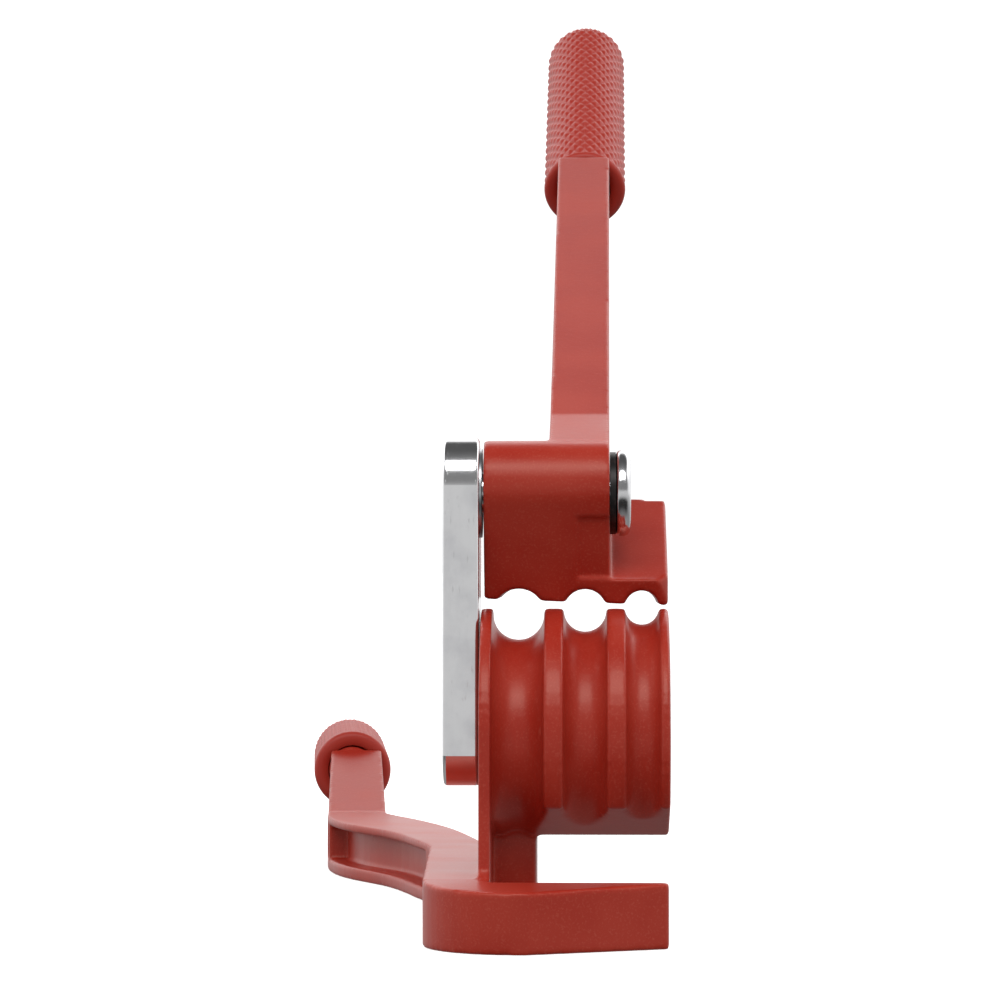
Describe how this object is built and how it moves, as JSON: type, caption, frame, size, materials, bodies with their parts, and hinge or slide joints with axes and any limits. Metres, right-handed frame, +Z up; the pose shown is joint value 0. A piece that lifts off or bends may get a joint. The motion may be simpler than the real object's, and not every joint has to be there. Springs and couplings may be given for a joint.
{
  "type": "manual tube bender",
  "caption": "Hand tube bender: grooved half-wheel former on a fixed handle, chromed link, and a moving handle whose grooved shoe wraps tube round the former.",
  "frame": {"origin": "on the flat underside of the fixed handle, straight below the former's pivot axis, in the mid-plane of the handle's straight run", "axes": "+Z up from the bench, +Y from the hook bar towards the grips, +X along the pivots from the link to the smallest groove"},
  "size_m": [0.0857, 0.3137, 0.1988],
  "materials": {
    "handle_paint": "satin red paint on a die casting",
    "grip_sleeve": "moulded red plastic with a knurled pattern",
    "bronze": "oiled sintered bronze",
    "link_chrome": "chrome plate",
    "bolt_chrome": "chrome plate",
    "black_washer": "black",
    "zinc_washer": "zinc plated"
  },
  "bodies": {
    "frame": {"fixed_handle": "handle_paint", "lower_grip": "grip_sleeve", "former_bush_left": "bronze", "former_bush_right": "bronze"},
    "link": {"link_bar": "link_chrome", "former_pivot_bolt": "bolt_chrome", "former_head_washer": "black_washer", "former_thrust_washer": "zinc_washer", "handle_pivot_bolt": "bolt_chrome", "handle_head_washer": "black_washer", "handle_thrust_washer": "zinc_washer"},
    "lever": {"moving_handle": "handle_paint", "upper_grip": "grip_sleeve", "barrel_bush_left": "bronze", "barrel_bush_right": "bronze"}
  },
  "joints": [
    {"name": "link_swing", "type": "hinge", "parent": "frame", "child": "link", "pos_m": [0, 0, 0.0368], "axis": [1, 0, 0], "range_deg": [-90, 90]},
    {"name": "handle_swing", "type": "hinge", "parent": "link", "child": "lever", "pos_m": [0, 0, 0.0828], "axis": [1, 0, 0], "range_deg": [-4, 100]}
  ]
}
